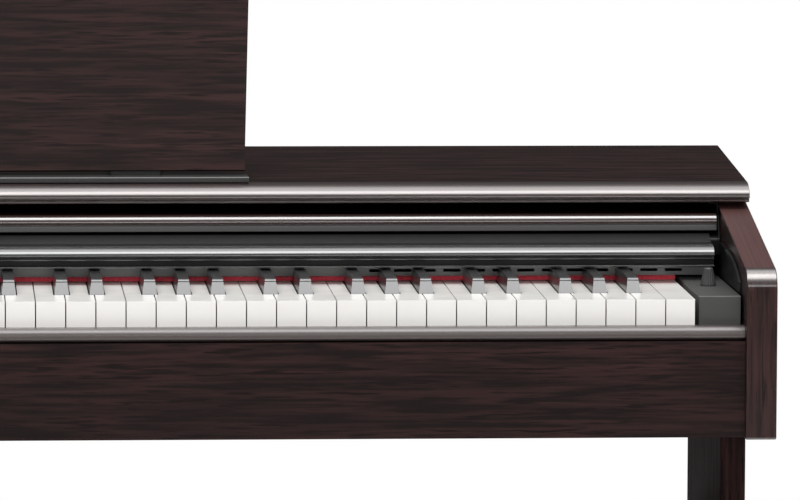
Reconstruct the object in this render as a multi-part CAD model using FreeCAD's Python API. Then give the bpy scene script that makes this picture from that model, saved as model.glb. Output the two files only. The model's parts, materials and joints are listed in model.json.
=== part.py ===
import FreeCAD, Part
import math
import os

# A home digital piano on its stand: a wood-grain cabinet with 88 keys, a sliding key cover and a
# folding music desk, on two side panels with feet, a lower rail with three pedals and a back panel.
# Millimetres. Origin on the floor under the middle of the cabinet; +X to the player's right,
# +Y away from the player, +Z up.

Vector = FreeCAD.Vector
os.makedirs("parts", exist_ok=True)

# ---- driving dimensions ----
WIDTH = 1357.0                      # over the side arms
FRONT = -207.5                      # front face of the arms
BACK = 208.5                        # back edge of the top board
ARM_THICKNESS = 24.3
ARM_INNER = WIDTH / 2 - ARM_THICKNESS
BOARD = 15.0                        # particle board of the keybed and front panel
CABINET_BOTTOM = 615.3
KEYBED_BOTTOM = 617.0
KEYBED_TOP = KEYBED_BOTTOM + BOARD
REAR_BOARD_FRONT = 198.0
REAR_BOARD_BACK = 208.0

KEY_PITCH = 23.7                    # one natural key
OCTAVE = 7 * KEY_PITCH
NATURALS = 52
KEYBOARD_HALF = NATURALS * KEY_PITCH / 2
KEY_TOP = 724.6                     # playing surface above the floor
KEY_FRONT = -183.0
KEY_GAP = 1.0
KEY_DEPTH = 24.0                    # height of a natural key's front
SHARP_START = KEY_FRONT + 50.0
SHARP_END = KEY_FRONT + 146.0
SHARP_WIDTH = 11.6
SHARP_TOP_WIDTH = 8.4
SHARP_HEIGHT = 11.6
SHARP_CLEARANCE = 0.9
KEY_NECK_END = 2.0
KEY_ARM_WIDTH = 8.6
PIVOT_Y = 40.0
PIVOT_Z = 712.0
PIVOT_RADIUS = 2.0
RUNNING_CLEARANCE = 0.05

TOP_SLOPE = math.tan(math.radians(3.5))
TOP_FRONT = -12.0                   # where the height of the top board's surface is given
TOP_FRONT_Z = 801.4
TOP_THICKNESS = 15.0
NOSE_DEPTH = 21.6                   # the nose is a quarter ellipse over a short flat
NOSE_DROP = 12.0
NOSE_FRONT = -19.9

COVER_PIVOT_Y = 164.0               # shaft at the back of the open key cover
COVER_PIVOT_Z = 779.5
COVER_SHAFT_RADIUS = 4.0
COVER_TRAVEL = 166.0
COVER_HALF = 644.0
ROLLER_RADIUS = 4.5

DESK_PIVOT_Y = 33.0
DESK_PIVOT_Z = 811.0
DESK_LEAN = 18.0                    # degrees back from upright
DESK_HALF = 269.0
DESK_TOP_HALF = 274.5
DESK_HEIGHT = 160.0
DESK_PIN_RADIUS = 2.0
DESK_HINGE_X = 180.0

KNOB_X = 635.5
KNOB_Y = -102.2
END_BLOCK_TOP = 727.1

LEG_OUTER = 675.4
LEG_THICKNESS = 20.6
LEG_FRONT = -29.2
FOOT_HEIGHT = 60.0
FOOT_FRONT = -200.0
GLIDE_HEIGHT = 4.0
STAND_HALF = LEG_OUTER - LEG_THICKNESS

PEDAL_PIVOT_Y = 148.0
PEDAL_PIVOT_Z = 84.0
PEDAL_SPACING = 72.0
PEDAL_BOX_FRONT = 118.0
PEDAL_BOX_BACK = 166.0
PEDAL_BOX_BOTTOM = 60.0
PEDAL_BOX_TOP = 124.0
PEDAL_HOLE_RADIUS = 3.0


# ---- shared shapes ----
def box(x0, x1, y0, y1, z0, z1):
    return Part.makeBox(x1 - x0, y1 - y0, z1 - z0, Vector(x0, y0, z0))


def rod_x(x0, x1, y, z, radius):
    return Part.makeCylinder(radius, x1 - x0, Vector(x0, y, z), Vector(1, 0, 0))


def rod_y(x, y0, y1, z, radius):
    return Part.makeCylinder(radius, y1 - y0, Vector(x, y0, z), Vector(0, 1, 0))


def rod_z(x, y, z0, z1, radius):
    return Part.makeCylinder(radius, z1 - z0, Vector(x, y, z0), Vector(0, 0, 1))


def outline_face(points):
    """Face from a list of vectors; a pair (through, end) in the list is an arc to its end."""
    edges = []
    here = points[0]
    for step in points[1:] + [points[0]]:
        if isinstance(step, tuple):
            through, end = step
            edges.append(Part.Arc(here, through, end).toShape())
        else:
            end = step
            if here.distanceToPoint(end) > 1e-6:
                edges.append(Part.makeLine(here, end))
        here = end
    return Part.Face(Part.Wire(edges))


def yz(y, z):
    return Vector(0, y, z)


def sweep_x(points, x0, x1):
    """Extrude a YZ outline from x0 to x1."""
    face = outline_face(points)
    face.translate(Vector(x0, 0, 0))
    return face.extrude(Vector(x1 - x0, 0, 0))


def sweep_y(points, y0, y1):
    """Extrude an XZ outline, given at y = 0, from y0 to y1."""
    face = outline_face(points)
    face.translate(Vector(0, y0, 0))
    return face.extrude(Vector(0, y1 - y0, 0))


def fuse(shapes):
    return shapes[0].multiFuse(shapes[1:]).removeSplitter() if len(shapes) > 1 else shapes[0]


def cut(shape, tools):
    return shape.cut(Part.makeCompound(tools)) if tools else shape


def mirrored(shape):
    return shape.mirror(Vector(0, 0, 0), Vector(1, 0, 0))


def export(name, shape):
    shape.exportStep("parts/" + name + ".step")


def top_surface(y):
    return TOP_FRONT_Z + (y - TOP_FRONT) * TOP_SLOPE


def top_underside(y):
    return top_surface(y) - TOP_THICKNESS


# ---- screws: one size of pan-head screw holds the rear board and the stand ----
SCREW_RADIUS = 3.0
SCREW_HOLE = 3.2
SCREW_HEAD = 6.0
SCREW_HEAD_HEIGHT = 2.0
SCREW_LENGTH = 28.0
HEAD_RECESS = SCREW_HEAD + 0.4


def screw_places():
    """(head position, direction into the wood) of each screw."""
    places = [(Vector(x, REAR_BOARD_BACK, KEYBED_BOTTOM + BOARD / 2), Vector(0, -1, 0))
              for x in (-600, -200, 200, 600)]
    outside = LEG_OUTER - SCREW_HEAD_HEIGHT
    for side in (-1, 1):
        for z in (300.0, 450.0):
            places.append((Vector(side * outside, 159.0, z), Vector(-side, 0, 0)))
        for y in (130.0, 156.0):
            places.append((Vector(side * outside, y, 80.0), Vector(-side, 0, 0)))
    return places


def screw(place, direction):
    head = Part.makeCylinder(SCREW_HEAD, SCREW_HEAD_HEIGHT, place, direction * -1)
    shank = Part.makeCylinder(SCREW_RADIUS, SCREW_LENGTH, place, direction)
    socket = Part.makeCylinder(1.8, 1.4, place - direction * SCREW_HEAD_HEIGHT, direction)
    return head.fuse(shank).cut(socket).removeSplitter()


def screw_hole(place, direction):
    """Hole for the shank with a recess for the head outside it."""
    recess = Part.makeCylinder(HEAD_RECESS, SCREW_HEAD_HEIGHT + 1, place, direction * -1)
    return recess.fuse(Part.makeCylinder(SCREW_HOLE, SCREW_LENGTH + 0.5, place, direction))


SCREW_HOLES = [screw_hole(place, direction) for place, direction in screw_places()]
export("assembly_screws", Part.makeCompound([screw(p, d) for p, d in screw_places()]))


# ---- cabinet boards ----
def side_arm():
    """Right arm: upright front, a round corner, then a slope up to the top board."""
    slope = math.tan(math.radians(9.9))
    corner = 18.0
    slope_z = 756.9                  # height of the sloping edge at slope_y
    slope_y = -155.4
    centre_y = FRONT + corner
    centre_z = slope_z + (centre_y - slope_y) * slope - corner * math.hypot(1, slope)
    angle = math.atan(slope)
    meet_y = (slope_z - slope_y * slope - top_underside(0)) / (TOP_SLOPE - slope)
    half = math.radians(180) - (math.radians(90) - angle) / 2
    points = [
        yz(FRONT + 2, CABINET_BOTTOM),
        (yz(FRONT + 0.6, CABINET_BOTTOM + 0.6), yz(FRONT, CABINET_BOTTOM + 2)),
        yz(FRONT, centre_z),
        (yz(centre_y + corner * math.cos(half), centre_z + corner * math.sin(half)),
         yz(centre_y - corner * math.sin(angle), centre_z + corner * math.cos(angle))),
        yz(meet_y, top_underside(meet_y)),
        yz(REAR_BOARD_BACK, top_underside(REAR_BOARD_BACK)),
        yz(REAR_BOARD_BACK, CABINET_BOTTOM),
    ]
    return sweep_x(points, ARM_INNER, WIDTH / 2)


def top_board():
    """Sloping lid, its front rounded over in three arcs that together follow the ellipse."""
    nose_start = NOSE_FRONT + NOSE_DEPTH
    top = top_surface(nose_start)
    edge = 1.5                       # round under the nose
    low = top_underside(NOSE_FRONT + edge)

    def nose(degrees):
        angle = math.radians(degrees)
        return yz(nose_start - NOSE_DEPTH * math.sin(angle),
                  top - NOSE_DROP * (1 - math.cos(angle)))

    points = [
        yz(BACK, top_surface(BACK)),
        yz(BACK, top_underside(BACK)),
        yz(NOSE_FRONT + edge, low),
        (yz(NOSE_FRONT + edge * 0.3, low + edge * 0.3), yz(NOSE_FRONT, low + edge)),
        nose(90),
        (nose(75), nose(60)), (nose(45), nose(30)), (nose(15), nose(0)),
    ]
    return sweep_x(points, -WIDTH / 2, WIDTH / 2)


SPEAKER_X = 430.0
SPEAKER_Y = 130.0
SPEAKER_CUTOUT = 56.0
keybed = box(-ARM_INNER, ARM_INNER, KEY_FRONT - 3, REAR_BOARD_FRONT, KEYBED_BOTTOM, KEYBED_TOP)
speaker_holes = [rod_z(side * SPEAKER_X, SPEAKER_Y, KEYBED_BOTTOM - 1, KEYBED_TOP + 1, SPEAKER_CUTOUT)
                 for side in (-1, 1)]

PANEL_TOP = 693.0
PANEL_FRONT = -201.0
front_panel = box(-ARM_INNER, ARM_INNER, PANEL_FRONT, KEY_FRONT - 3, 616.7, PANEL_TOP)

SOCKET_BAY_HALF = 100.0
SOCKET_BAY_LOW = 652.0
SOCKET_BAY_HIGH = 688.0
rear_board = sweep_x([
    yz(REAR_BOARD_FRONT, KEYBED_BOTTOM),
    yz(REAR_BOARD_BACK, KEYBED_BOTTOM),
    yz(REAR_BOARD_BACK, top_underside(REAR_BOARD_BACK)),
    yz(REAR_BOARD_FRONT, top_underside(REAR_BOARD_FRONT)),
], -ARM_INNER, ARM_INNER)
socket_bay = box(-SOCKET_BAY_HALF, SOCKET_BAY_HALF, REAR_BOARD_FRONT - 1, REAR_BOARD_BACK + 1,
                 SOCKET_BAY_LOW, SOCKET_BAY_HIGH)

export("side_arm_right", side_arm())
export("side_arm_left", mirrored(side_arm()))
export("top_board", top_board())
export("keybed_board", cut(keybed, speaker_holes + SCREW_HOLES))
export("front_panel", front_panel)
export("rear_board", cut(rear_board, [socket_bay] + SCREW_HOLES))


# ---- rail in front of the keys, nameboard behind them and its felt ----
def key_slip():
    """Rounded moulding over the front panel, with a thin leg down behind the panel."""
    rail_top = KEY_TOP - 20.2
    leg_front = KEY_FRONT - 3
    leg_back = KEY_FRONT - 1.4
    points = [
        yz(leg_back, KEYBED_TOP),
        yz(leg_back, rail_top),
        yz(leg_front - 3, rail_top),
        (yz(leg_front - 10.6, rail_top - 2.4), yz(leg_front - 13.5, rail_top - 6.5)),
        yz(leg_front - 13.5, rail_top - 8.2),
        yz(leg_front - 12.5, rail_top - 9.2),
        yz(leg_front, rail_top - 9.2),
        yz(leg_front, KEYBED_TOP),
    ]
    return sweep_x(points, -ARM_INNER, ARM_INNER)


def above_keys(back, up):
    """Point given behind the front edge of the keys and above their tops."""
    return yz(KEY_FRONT + back, KEY_TOP + up)


NAMEBOARD_HALF = 645.0


def nameboard():
    """Moulded panel over the back of the keys: hollow face, round nose, groove below the nose."""
    points = [
        above_keys(170, 37.0), above_keys(161, 37.0),
        (above_keys(147, 32.2), above_keys(135.5, 30.8)),
        (above_keys(126.6, 28.9), above_keys(121.5, 22.8)),
        above_keys(121.5, 20.0), above_keys(126.0, 19.6),
        above_keys(126.0, 15.2), above_keys(122.5, 14.6), above_keys(122.5, 13.6),
        above_keys(153.0, 13.6), above_keys(153.0, 16.0),
        above_keys(128.6, 16.4), above_keys(128.6, 22.0), above_keys(124.0, 22.4),
        (above_keys(128.0, 27.2), above_keys(135.5, 28.6)),
        (above_keys(147.4, 29.8), above_keys(161.6, 34.4)),
        above_keys(170, 34.4),
    ]
    return sweep_x(points, -NAMEBOARD_HALF, NAMEBOARD_HALF)


SLOT_COUNT = 13
SLOT_PITCH = 20.06
SLOT_FIRST = 367.0
SLOT_LENGTH = 14.3
SLOT_HEIGHT = 2.4
STRIP_FRONT = KEY_FRONT + 150.0


def sound_slot(left):
    radius = SLOT_HEIGHT / 2
    z = KEY_TOP + 8.6
    y0 = STRIP_FRONT - 1
    y1 = STRIP_FRONT + 4
    flat = box(left + radius, left + SLOT_LENGTH - radius, y0, y1, z - radius, z + radius)
    ends = [rod_y(x, y0, y1, z, radius) for x in (left + radius, left + SLOT_LENGTH - radius)]
    return flat.multiFuse(ends)


def slotted_strip():
    """Upright strip under the nameboard, with a row of sound slots towards each end."""
    strip = box(-NAMEBOARD_HALF, NAMEBOARD_HALF, STRIP_FRONT, STRIP_FRONT + 2.5,
                KEY_TOP + 4.4, KEY_TOP + 13.6)
    right = [sound_slot(SLOT_FIRST + SLOT_PITCH * i) for i in range(SLOT_COUNT)]
    return cut(strip, right + [mirrored(slot) for slot in right])


felt = box(-KEYBOARD_HALF, KEYBOARD_HALF, STRIP_FRONT - 2, STRIP_FRONT + 1.5,
           KEY_TOP + 0.4, KEY_TOP + 4.4)

export("key_slip", key_slip())
export("nameboard", nameboard())
export("slotted_strip", slotted_strip())
export("nameboard_felt", felt)


# ---- end blocks beside the keys, the volume knob and the power button ----
BLOCK_INNER = KEYBOARD_HALF + 3.0
BLOCK_OUTER = 652.0
BLOCK_BACK = KEY_FRONT + 185.0
BLOCK_WALL = 3.0
KNOB_STEM = 3.0
KNOB_BASE = 6.5
KNOB_CROWN = 3.6
KNOB_HEIGHT = 14.0
BUTTON_HALF = 6.0
BUTTON_GAP = 0.3
BUTTON_TRAVEL = 2.0


def end_block():
    """Right block: a moulded cap, open below, with a small edge round along its front."""
    edge = 1.2
    shell = sweep_x([
        yz(KEY_FRONT, KEYBED_TOP),
        yz(KEY_FRONT, END_BLOCK_TOP - edge),
        (yz(KEY_FRONT + 0.35, END_BLOCK_TOP - 0.35), yz(KEY_FRONT + edge, END_BLOCK_TOP)),
        yz(BLOCK_BACK, END_BLOCK_TOP),
        yz(BLOCK_BACK, KEYBED_TOP),
    ], BLOCK_INNER, BLOCK_OUTER)
    inside = box(BLOCK_INNER + BLOCK_WALL, BLOCK_OUTER - BLOCK_WALL, KEY_FRONT + BLOCK_WALL,
                 BLOCK_BACK - BLOCK_WALL, KEYBED_TOP - 1, END_BLOCK_TOP - BLOCK_WALL)
    return shell.cut(inside)


def volume_knob():
    """Cone with grooves down its sides, on a round stem."""
    base_z = END_BLOCK_TOP + 0.3
    body = Part.makeCone(KNOB_BASE, KNOB_CROWN, KNOB_HEIGHT, Vector(KNOB_X, KNOB_Y, base_z))
    ribs = 18
    grooves = []
    for i in range(ribs):
        angle = 2 * math.pi * i / ribs
        outward = Vector(math.cos(angle), math.sin(angle), 0)
        foot = Vector(KNOB_X, KNOB_Y, base_z) + outward * KNOB_BASE
        down_the_side = outward * (KNOB_CROWN - KNOB_BASE) + Vector(0, 0, KNOB_HEIGHT)
        grooves.append(Part.makeCylinder(0.45, KNOB_HEIGHT - 2.5, foot, down_the_side))
    stem = rod_z(KNOB_X, KNOB_Y, END_BLOCK_TOP - 14, base_z + 1, KNOB_STEM)
    return cut(body, grooves).fuse(stem)


def power_button():
    """Square cap in a square hole, with a wider flange under the block's top."""
    x = -KNOB_X
    cap = box(x - BUTTON_HALF, x + BUTTON_HALF, KNOB_Y - BUTTON_HALF, KNOB_Y + BUTTON_HALF,
              END_BLOCK_TOP - 6, END_BLOCK_TOP + BUTTON_TRAVEL + 0.5)
    uprights = [edge for edge in cap.Edges if abs(edge.tangentAt(edge.FirstParameter).z) > 0.9]
    cap = cap.makeFillet(1.5, uprights)
    flange = BUTTON_HALF + 2
    plate = box(x - flange, x + flange, KNOB_Y - flange, KNOB_Y + flange,
                END_BLOCK_TOP - 7.5, END_BLOCK_TOP - 6)
    return cap.fuse(plate)


block_right = end_block()
knob_hole = rod_z(KNOB_X, KNOB_Y, END_BLOCK_TOP - 5, END_BLOCK_TOP + 1, KNOB_STEM + RUNNING_CLEARANCE)
button_hole = box(-KNOB_X - BUTTON_HALF - BUTTON_GAP, -KNOB_X + BUTTON_HALF + BUTTON_GAP,
                  KNOB_Y - BUTTON_HALF - BUTTON_GAP, KNOB_Y + BUTTON_HALF + BUTTON_GAP,
                  END_BLOCK_TOP - 5, END_BLOCK_TOP + 1)

export("end_block_right", block_right.cut(knob_hole))
export("end_block_left", mirrored(block_right).cut(button_hole))
export("volume_knob", volume_knob())
export("power_button", power_button())


# ---- keys ----
NATURAL_NAMES = "abcdefg"
# semitone of each natural above C, and how far a sharp's centre is from the joint it stands over
SEMITONE = {"c": 0, "d": 2, "e": 4, "f": 5, "g": 7, "a": 9, "b": 11}
SHARP_SHIFT = {"c": -2.1, "d": 2.1, "f": -3.4, "g": 0.0, "a": 3.4}
ARM_PITCH = OCTAVE / 12


def key_list():
    """Every natural from A0 to C8 as (letter, octave, left edge)."""
    keys = []
    octave = 0
    for i in range(NATURALS):
        letter = NATURAL_NAMES[i % 7]
        if letter == "c":
            octave += 1
        keys.append((letter, octave, -KEYBOARD_HALF + KEY_PITCH * i))
    return keys


def sharp_centre(letter, left):
    return left + KEY_PITCH + SHARP_SHIFT[letter]


def arm_centre(letter, left, semitones_up):
    """The hinge arms are evenly spaced, twelve to the octave, whatever the width of the key."""
    octave_left = left - KEY_PITCH * "cdefgab".index(letter)
    return octave_left + ARM_PITCH * (SEMITONE[letter] + semitones_up + 0.5)


def hinge_arm(centre):
    half = KEY_ARM_WIDTH / 2
    return box(centre - half, centre + half, KEY_NECK_END - 8, PIVOT_Y + 10, PIVOT_Z - 6, PIVOT_Z + 6)


PIVOT_HOLE = rod_x(-KEYBOARD_HALF - 1, KEYBOARD_HALF + 1, PIVOT_Y, PIVOT_Z,
                   PIVOT_RADIUS + RUNNING_CLEARANCE)


def natural_key(letter, left):
    """Hollow key: a wide head in front, a neck between the sharps, and the hinge arm."""
    wall = 2.0
    top_wall = 3.0
    low = KEY_TOP - KEY_DEPTH
    head_end = SHARP_START - 1.5
    x0 = left + KEY_GAP / 2
    x1 = left + KEY_PITCH - KEY_GAP / 2
    reach = SHARP_WIDTH / 2 + SHARP_CLEARANCE
    before = NATURAL_NAMES[(NATURAL_NAMES.index(letter) - 1) % 7]
    is_first = left < -KEYBOARD_HALF + 1
    is_last = left > KEYBOARD_HALF - KEY_PITCH - 1
    neck0 = x0
    neck1 = x1
    if before in SHARP_SHIFT and not is_first:
        neck0 = sharp_centre(before, left - KEY_PITCH) + reach
    if letter in SHARP_SHIFT and not is_last:
        neck1 = sharp_centre(letter, left) - reach
    head = box(x0, x1, KEY_FRONT, head_end, low, KEY_TOP)
    neck = box(neck0, neck1, head_end - 1, KEY_NECK_END, low + 3, KEY_TOP)
    key = head.multiFuse([neck, hinge_arm(arm_centre(letter, left, 0))])
    inside = [
        box(x0 + wall, x1 - wall, KEY_FRONT + wall, head_end - wall, low - 1, KEY_TOP - top_wall),
        box(neck0 + wall, neck1 - wall, head_end - 1, KEY_NECK_END - 8, low - 1, KEY_TOP - top_wall),
        PIVOT_HOLE,
    ]
    return cut(key, inside)


def sharp_key(letter, left):
    """Solid key with a sloping front and sides that lean in towards the top."""
    x = sharp_centre(letter, left)
    half = SHARP_WIDTH / 2
    top_half = SHARP_TOP_WIDTH / 2
    top = KEY_TOP + SHARP_HEIGHT
    low = KEY_TOP - 18.0
    side_view = sweep_x([
        yz(SHARP_START, low), yz(SHARP_START, KEY_TOP), yz(SHARP_START + 6.4, top - 2.4),
        (yz(SHARP_START + 7.6, top - 0.7), yz(SHARP_START + 10, top)),
        yz(SHARP_END, top), yz(SHARP_END, KEY_TOP - 2), yz(KEY_NECK_END, KEY_TOP - 2),
        yz(KEY_NECK_END, low),
    ], x - half, x + half)
    front_view = sweep_y([
        Vector(x - half, 0, low), Vector(x + half, 0, low), Vector(x + half, 0, KEY_TOP),
        Vector(x + top_half, 0, top), Vector(x - top_half, 0, top), Vector(x - half, 0, KEY_TOP),
    ], SHARP_START - 1, KEY_NECK_END + 1)
    key = side_view.common(front_view)
    return key.fuse(hinge_arm(arm_centre(letter, left, 1))).cut(PIVOT_HOLE)


def octave_group(octave):
    """The lower keys are grouped two octaves at a time."""
    if octave <= 2:
        return "a0_to_b2"
    return "c3_to_b4" if octave <= 4 else "c5_to_b6"


SINGLE_FROM_OCTAVE = 7
groups = {}
for letter, octave, left in key_list():
    single = octave >= SINGLE_FROM_OCTAVE
    natural = natural_key(letter, left)
    natural_name = "key_%s%d" % (letter, octave) if single else "naturals_" + octave_group(octave)
    groups.setdefault(natural_name, []).append(natural)
    if letter in SHARP_SHIFT and octave < 8:
        sharp = sharp_key(letter, left)
        sharp_name = "key_%s_sharp%d" % (letter, octave) if single else "sharps_" + octave_group(octave)
        groups.setdefault(sharp_name, []).append(sharp)
for name, keys in groups.items():
    export(name, keys[0] if len(keys) == 1 else Part.makeCompound(keys))


# ---- key chassis and the rod that all the keys turn on ----
CHASSIS_BACK = 60.0
STOP_RAIL_TOP = 690.5
RIB_HALF = 1.5
END_RIB = 0.9


def key_chassis():
    """Pressed tray with a front stop rail, a rear beam and an upright rib at each octave."""
    half = KEYBOARD_HALF + 2.4
    tray = box(-half, half, -175, CHASSIS_BACK, KEYBED_TOP, KEYBED_TOP + 3)
    rail = box(-half, half, -166, -144, KEYBED_TOP + 2, STOP_RAIL_TOP)
    rail = rail.cut(box(-half - 1, half + 1, -163, -147, KEYBED_TOP + 3, STOP_RAIL_TOP - 3))
    beam = box(-half, half, CHASSIS_BACK - 6, CHASSIS_BACK, KEYBED_TOP + 2, 700)
    pieces = [tray, rail, beam]
    joints = [left for letter, octave, left in key_list() if letter == "c"]
    for x in joints:
        pieces.append(box(x - RIB_HALF, x + RIB_HALF, PIVOT_Y - 8, CHASSIS_BACK - 1,
                          KEYBED_TOP + 2, PIVOT_Z + 5))
    for side in (-1, 1):
        x = side * (KEYBOARD_HALF + 1.5)
        pieces.append(box(x - END_RIB, x + END_RIB, PIVOT_Y - 8, CHASSIS_BACK - 1,
                          KEYBED_TOP + 2, PIVOT_Z + 5))
    bore = rod_x(-half - 1, half + 1, PIVOT_Y, PIVOT_Z, PIVOT_RADIUS)
    return fuse(pieces).cut(bore)


export("key_chassis", key_chassis())
export("key_pivot_rod", rod_x(-KEYBOARD_HALF - 2.4, KEYBOARD_HALF + 2.4, PIVOT_Y, PIVOT_Z, PIVOT_RADIUS))


# ---- key cover: board, front lip, rear shaft and the side tracks ----
TRACK_INNER_HALF_HEIGHT = ROLLER_RADIUS + 0.3
TRACK_FLANGE = 1.6
TRACK_FRONT = -8.0
TRACK_BACK = COVER_PIVOT_Y + 10.0


def cover_board():
    """Thin board with bored blocks at the back that turn on the shaft."""
    board = sweep_x([
        yz(-12, 777.0), yz(158, 783.0), yz(158, 776.0), yz(-12, 770.0),
    ], -COVER_HALF, COVER_HALF)
    knuckles = [rod_x(x - 30, x + 30, COVER_PIVOT_Y, COVER_PIVOT_Z, 7.0) for x in (-600, 0, 600)]
    webs = [box(x - 30, x + 30, 152, COVER_PIVOT_Y, 776.2, 782.6) for x in (-600, 0, 600)]
    bore = rod_x(-COVER_HALF - 1, COVER_HALF + 1, COVER_PIVOT_Y, COVER_PIVOT_Z,
                 COVER_SHAFT_RADIUS + RUNNING_CLEARANCE)
    return fuse([board] + knuckles + webs).cut(bore)


def cover_lip():
    """Grip moulding along the front edge of the cover: a round over a flat skirt."""
    points = [
        yz(-12, 764.1), yz(-12, 777.6), yz(-16.4, 777.6),
        (yz(-21.1, 775.6), yz(-23, 771)),
        yz(-23, 769.6), yz(-21.8, 769.2),
        yz(-21.8, 768.6), yz(-22.6, 768.2),
        yz(-22.6, 764.6), yz(-22.1, 764.1),
    ]
    return sweep_x(points, -651, 651)


def cover_shaft():
    """Steel shaft with a nylon roller on each end."""
    shaft = rod_x(-650, 650, COVER_PIVOT_Y, COVER_PIVOT_Z, COVER_SHAFT_RADIUS)
    rollers = [rod_x(side * 649 - 3, side * 649 + 3, COVER_PIVOT_Y, COVER_PIVOT_Z, ROLLER_RADIUS)
               for side in (-1, 1)]
    return fuse([shaft] + rollers)


def cover_track():
    """Right track: a channel for the roller, a curved cheek on the arm and a guide block."""
    web_inner = ARM_INNER - 1.6
    low = COVER_PIVOT_Z - TRACK_INNER_HALF_HEIGHT
    high = COVER_PIVOT_Z + TRACK_INNER_HALF_HEIGHT
    web = box(web_inner, ARM_INNER, TRACK_FRONT, TRACK_BACK, low - TRACK_FLANGE, high + TRACK_FLANGE)
    lower = box(646.2, ARM_INNER, TRACK_FRONT, TRACK_BACK, low - TRACK_FLANGE, low)
    upper = box(646.2, ARM_INNER, TRACK_FRONT, TRACK_BACK, high, high + TRACK_FLANGE)
    end_stop = box(646.2, ARM_INNER, TRACK_BACK - 2, TRACK_BACK, low - TRACK_FLANGE, high + TRACK_FLANGE)
    cheek = sweep_x([
        above_keys(190, 52.0), above_keys(190, 3.4), above_keys(13, 3.4), above_keys(11, 12),
        (above_keys(48, 24.6), above_keys(106, 29.5)),
        above_keys(160, 30.5), above_keys(172, 52.0),
    ], 652.7, ARM_INNER)
    block = sweep_x([
        above_keys(152, 20.4), above_keys(173, 20.4), above_keys(173, 36.4), above_keys(152, 34.0),
    ], NAMEBOARD_HALF, 653.0)
    return fuse([web, lower, upper, end_stop, cheek, block])


track = cover_track()
export("cover_track_right", track)
export("cover_track_left", mirrored(track))
export("key_cover_board", cover_board())
export("key_cover_lip", cover_lip())
export("key_cover_shaft", cover_shaft())


# ---- music desk ----
lean = math.radians(DESK_LEAN)
DESK_UP = Vector(0, math.sin(lean), math.cos(lean))
DESK_OUT = Vector(0, -math.cos(lean), math.sin(lean))
DESK_BACK_FACE = -2.5               # behind the hinge line, along DESK_OUT
DESK_THICKNESS = 12.0
DESK_LOW = 7.0                      # panel's back edge above the hinge line, along DESK_UP
APRON_BACK = 5.2                    # the panel's front skin goes on down past the hinges
APRON_LOW = -3.6


def desk_point(x, up, out):
    return Vector(x, DESK_PIVOT_Y, DESK_PIVOT_Z) + DESK_UP * up + DESK_OUT * out


def music_desk_panel():
    """Board that flares a little to the top and leans back, with an apron over its hinges."""
    corners = [(-DESK_HALF, DESK_LOW), (DESK_HALF, DESK_LOW),
               (DESK_TOP_HALF, DESK_HEIGHT), (-DESK_TOP_HALF, DESK_HEIGHT)]
    face = outline_face([desk_point(x, up, DESK_BACK_FACE) for x, up in corners])
    panel = face.extrude(DESK_OUT * DESK_THICKNESS)
    top_corners = [edge for edge in panel.Edges
                   if abs(edge.Length - DESK_THICKNESS) < 0.01
                   and edge.BoundBox.ZMax > desk_point(0, DESK_HEIGHT, DESK_BACK_FACE).z - 1]
    low_corners = [(-DESK_HALF, APRON_LOW), (DESK_HALF, APRON_LOW),
                   (DESK_HALF, DESK_LOW), (-DESK_HALF, DESK_LOW)]
    apron = outline_face([desk_point(x, up, APRON_BACK) for x, up in low_corners])
    skin = apron.extrude(DESK_OUT * (DESK_BACK_FACE + DESK_THICKNESS - APRON_BACK))
    return fuse([panel.makeFillet(6.0, top_corners), skin])


def music_desk_ledge():
    """Shelf for the music, with a low front lip, and the bored hinge blocks of the desk."""
    shelf = sweep_x([
        yz(-3.0, 802.6), yz(-3.4, 806.2), yz(-2.6, 807.0), yz(-0.8, 807.0), yz(-0.4, 805.2),
        yz(28.2, 806.4), yz(28.2, 804.6), yz(1.0, 802.8),
    ], -271, 271)
    blocks = []
    for side in (-1, 1):
        x = side * DESK_HINGE_X
        blocks.append(rod_x(x - 20, x + 20, DESK_PIVOT_Y, DESK_PIVOT_Z, 4.6))
        blocks.append(box(x - 20, x + 20, 26, DESK_PIVOT_Y + 1, 805, 816))
    bore = rod_x(-271, 271, DESK_PIVOT_Y, DESK_PIVOT_Z, DESK_PIN_RADIUS + RUNNING_CLEARANCE)
    panel_room = box(-400, 400, -200, 200, 0, 200)
    panel_room.Placement = FreeCAD.Placement(
        desk_point(0, DESK_LOW, 0), FreeCAD.Rotation(Vector(1, 0, 0), -DESK_LEAN))
    return fuse([shelf] + blocks).cut(bore).cut(panel_room).cut(music_desk_panel())


def music_desk_hinges():
    """Two brackets on the top board, each with two ears and a pin."""
    shapes = []
    for side in (-1, 1):
        x = side * DESK_HINGE_X
        base_back = 62.0
        for ear_x in (x - 22.4, x + 20.4):
            shapes.append(sweep_x([
                yz(DESK_PIVOT_Y - 4.2, DESK_PIVOT_Z),
                (yz(DESK_PIVOT_Y, DESK_PIVOT_Z + 4.2), yz(DESK_PIVOT_Y + 4.2, DESK_PIVOT_Z)),
                yz(DESK_PIVOT_Y + 7, top_surface(DESK_PIVOT_Y + 7) + 1.5),
                yz(base_back, top_surface(base_back) + 1.5),
                yz(base_back, top_surface(base_back)),
                yz(DESK_PIVOT_Y - 4.2, top_surface(DESK_PIVOT_Y - 4.2)),
            ], ear_x, ear_x + 2.0))
        shapes.append(sweep_x([
            yz(DESK_PIVOT_Y + 9, top_surface(DESK_PIVOT_Y + 9)),
            yz(DESK_PIVOT_Y + 9, top_surface(DESK_PIVOT_Y + 9) + 1.5),
            yz(base_back, top_surface(base_back) + 1.5), yz(base_back, top_surface(base_back)),
        ], x - 22.4, x + 22.4))
        shapes.append(rod_x(x - 22.4, x + 22.4, DESK_PIVOT_Y, DESK_PIVOT_Z, DESK_PIN_RADIUS))
    half = len(shapes) // 2
    return Part.makeCompound([fuse(shapes[:half]), fuse(shapes[half:])])


export("music_desk_panel", music_desk_panel())
export("music_desk_ledge", music_desk_ledge())
export("music_desk_hinges", music_desk_hinges())


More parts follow.
